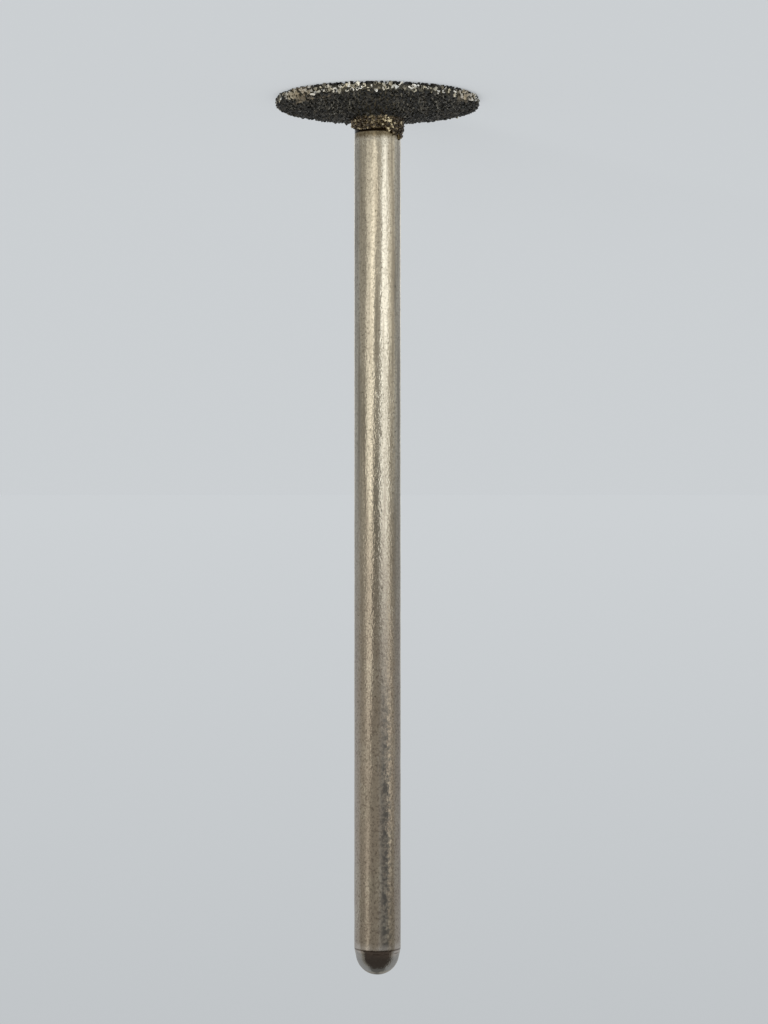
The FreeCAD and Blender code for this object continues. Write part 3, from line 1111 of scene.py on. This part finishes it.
# Above the front panels, to this angle on each side, the tent is open and dark, out over its roof to this
# distance from the axis. The round nose mirrors that gap.
FRONT = 78.0
GAP_COLOUR = "#46413E"
GAP_REACH = 3.6
ROOF_COLOUR = "#6F7172"

# The widest piece of cloth in degrees, and the radius of the hole in the middle of the roof.
CLOTH_TURN = 5
ROOF_HOLE = 0.01

# Half the floor's width in metres.
FLOOR_HALF = 3.0

# Share of its own colour in what the camera sees of the floor. The rest takes the bur's soft shadow.
FLOOR_OWN_SHARE = 0.6

# The key lamp's direction, and its width in degrees, which softens the shadow.
LAMP_DIRECTION = (-0.25, 0.8, -0.55)
LAMP_WIDTH = 24

# How high the view rises, as a share of the full turn upwards, before the background has its upper colour.
SKY_RISE = 0.25

# The camera sees nothing nearer than this, in metres.
CLIP_START = 0.001


def tent_point(degrees, radius, height):
    """A point of the tent in metres."""
    x, y = around(radius, math.radians(degrees))
    return (x * MM, y * MM, height * MM)


def tent_patches(stage):
    """Four corners of each patch of the tent's wall and roof, and the linear colour of each corner."""
    wall, top = stage.tent_radius, stage.roof_height
    gap = np.array(linear(GAP_COLOUR))
    roof = np.array(linear(ROOF_COLOUR))
    last = len(TENT_LEVELS) - 1
    before = upright(TENT_START)
    for edges, glows, tint in TENT_PANELS:
        shades = [np.array(linear(tint)) * glow for glow in glows]
        front = max(abs(edges[-1]), abs(before[-1])) <= FRONT
        # Each row's edges below and above, with the level, radius, height and colour of each.
        levels = [(level, wall, TENT_LEVELS[level], shades[level]) for level in range(last + 1)]
        rows = list(zip(levels, levels[1:]))
        above_wall = gap if front else shades[last]
        over_bur = gap if front else roof
        rows += [
            ((last, wall, TENT_LEVELS[last], above_wall), (last, wall, top, above_wall)),
            ((last, wall, top, over_bur), (last, GAP_REACH, top, over_bur)),
            ((last, GAP_REACH, top, roof), (last, ROOF_HOLE, top, roof)),
        ]
        steps = max(1, round((edges[0] - before[0]) / CLOTH_TURN))
        for step in range(steps):
            left = [start + (end - start) * step / steps for start, end in zip(before, edges)]
            right = [start + (end - start) * (step + 1) / steps for start, end in zip(before, edges)]
            for (low, outer, foot, lower), (high, inner, head, upper) in rows:
                corners = (
                    tent_point(left[low], outer, foot),
                    tent_point(right[low], outer, foot),
                    tent_point(right[high], inner, head),
                    tent_point(left[high], inner, head),
                )
                yield corners, (lower, lower, upper, upper)
        before = edges


def tent_cloth():
    """White cloth of the light tent, lit from behind."""
    # Lit cloth glows evenly. Each corner of a panel has its own brightness.
    material, tree = new_material("tent_cloth")
    glow = add_node(tree, "ShaderNodeAttribute", {"attribute_name": "glow"})
    return finished(material, "ShaderNodeEmission", {"Color": glow.outputs["Color"], "Strength": 1.0})


def matt_card(floor_colour):
    """Pale matt card of the floor."""
    # Card scatters light evenly, and the camera sees it pale to its far edge.
    material, tree = new_material("matt_card")
    seen = add_node(tree, "ShaderNodeLightPath").outputs["Is Camera Ray"]
    card = add_node(tree, "ShaderNodeBsdfDiffuse", inputs={"Color": rgba(floor_colour)})
    glow = add_node(tree, "ShaderNodeEmission", inputs={"Color": rgba(floor_colour), "Strength": 1.0})
    share = add_node(tree, "ShaderNodeMath", {"operation": "MULTIPLY"}, {0: seen, 1: FLOOR_OWN_SHARE})
    both = {0: share.outputs[0], 1: card.outputs[0], 2: glow.outputs[0]}
    return finished(material, "ShaderNodeMixShader", both)


class BUR_OT_make_stage(bpy.types.Operator):
    """Build the pale floor, the soft light and the camera"""

    bl_idname = "bur.make_stage"
    bl_label = "Make stage"

    def execute(self, context):
        stage = settings("bur_stage")
        self.make_floor(stage)
        self.make_tent(stage)
        self.make_lamp(stage)
        self.make_world(context, stage)
        self.make_camera(context, stage)
        context.scene.view_settings.view_transform = "Standard"
        return {"FINISHED"}

    def make_floor(self, stage):
        """Square of pale card under the bur."""
        half = FLOOR_HALF
        corners = [(-half, -half, 0), (half, -half, 0), (half, half, 0), (-half, half, 0)]
        floor = linked("floor", new_mesh("floor", corners, [(0, 1, 2, 3)], matt_card(stage.floor_colour)))

    def make_tent(self, stage):
        """Light tent that only mirror-like surfaces see, so that it lights nothing else."""
        vertices, faces, glow = [], [], []
        for corners, shades in tent_patches(stage):
            base = len(vertices)
            vertices.extend(corners)
            for shade in shades:
                glow.extend((*shade, 1.0))
            faces.append((base, base + 1, base + 2, base + 3))
        mesh = new_mesh("light_tent", vertices, faces, tent_cloth())
        attribute = mesh.attributes.new("glow", "FLOAT_COLOR", "POINT")
        attribute.data.foreach_set("color", glow)
        tent = linked("light_tent", mesh)
        tent.visible_camera = False
        tent.visible_diffuse = False
        tent.visible_transmission = False
        tent.visible_shadow = False

    def make_lamp(self, stage):
        """Broad key lamp, which the metal doesn't mirror."""
        lamp = bpy.data.lights.new("key_lamp", "SUN")
        lamp.energy = stage.lamp_strength
        lamp.angle = math.radians(LAMP_WIDTH)
        key = linked("key_lamp", lamp)
        key.rotation_euler = Vector(LAMP_DIRECTION).to_track_quat("-Z", "Y").to_euler()
        key.visible_glossy = False

    def make_world(self, context, stage):
        """Soft white surround. The camera sees the background's colours in its place."""
        world = bpy.data.worlds.new("studio")
        context.scene.world = world
        world.use_nodes = True
        tree = world.node_tree
        tree.nodes.clear()
        seen = add_node(tree, "ShaderNodeLightPath").outputs["Is Camera Ray"]
        ambient = add_node(
            tree,
            "ShaderNodeBackground",
            inputs={"Color": (1.0, 1.0, 1.0, 1.0), "Strength": stage.world_strength},
        )
        direction = add_node(tree, "ShaderNodeTexCoord").outputs["Generated"]
        elevation = add_node(tree, "ShaderNodeSeparateXYZ", inputs={"Vector": direction}).outputs["Z"]
        rise = add_node(tree, "ShaderNodeMapRange", inputs={"Value": elevation, "From Max": SKY_RISE})
        shade = painted(tree, rgba(stage.floor_colour), (rise.outputs[0], stage.sky_colour))
        backdrop = add_node(tree, "ShaderNodeBackground", inputs={"Color": shade, "Strength": 1.0})
        both = add_node(
            tree, "ShaderNodeMixShader", inputs={0: seen, 1: ambient.outputs[0], 2: backdrop.outputs[0]}
        )
        add_node(tree, "ShaderNodeOutputWorld", inputs={"Surface": both.outputs[0]})
        world.cycles_visibility.glossy = False

    def make_camera(self, context, stage):
        """Camera upside down in front of the bur, as the bur hangs from its disc in the picture."""
        data = bpy.data.cameras.new("camera")
        data.lens = stage.lens
        data.clip_start = CLIP_START
        camera = linked("camera", data)
        right, up, back = Vector((-1, 0, 0)), Vector((0, 0, -1)), Vector((0, -1, 0))
        turn = Matrix((right, up, back)).transposed().to_4x4()
        place = Vector((-stage.camera_side, -stage.camera_distance, stage.camera_height)) * MM
        camera.matrix_world = Matrix.Translation(place) @ turn
        context.scene.camera = camera


class VIEW3D_PT_bur(bpy.types.Panel):
    """Sizes, colours and operators of the bur"""

    bl_idname = "VIEW3D_PT_bur"
    bl_label = "Diamond disc bur"
    bl_space_type = "VIEW_3D"
    bl_region_type = "UI"
    bl_category = "Bur"

    def draw(self, context):
        for operator, (name, group) in zip(OPERATORS, GROUPS):
            box = self.layout.box()
            box.operator(operator.bl_idname)
            for key in group.__annotations__:
                box.prop(getattr(context.scene, name), key)


GROUPS = (("bur_shank", BurShankSettings), ("bur_grit", BurGritSettings), ("bur_stage", BurStageSettings))
OPERATORS = (BUR_OT_make_blank, BUR_OT_make_grit, BUR_OT_make_stage)


def register():
    """Registers the property groups, the operators and the panel."""
    for name, group in GROUPS:
        bpy.utils.register_class(group)
        setattr(bpy.types.Scene, name, PointerProperty(type=group))
    for operator in OPERATORS:
        bpy.utils.register_class(operator)
    bpy.utils.register_class(VIEW3D_PT_bur)


def unregister():
    """Takes the classes out again."""
    bpy.utils.unregister_class(VIEW3D_PT_bur)
    for operator in reversed(OPERATORS):
        bpy.utils.unregister_class(operator)
    for name, group in reversed(GROUPS):
        delattr(bpy.types.Scene, name)
        bpy.utils.unregister_class(group)


def main():
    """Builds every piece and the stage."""
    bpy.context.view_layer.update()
    register()
    bpy.ops.bur.make_blank()
    bpy.ops.bur.make_grit()
    bpy.ops.bur.make_stage()


if __name__ == "__main__":
    main()
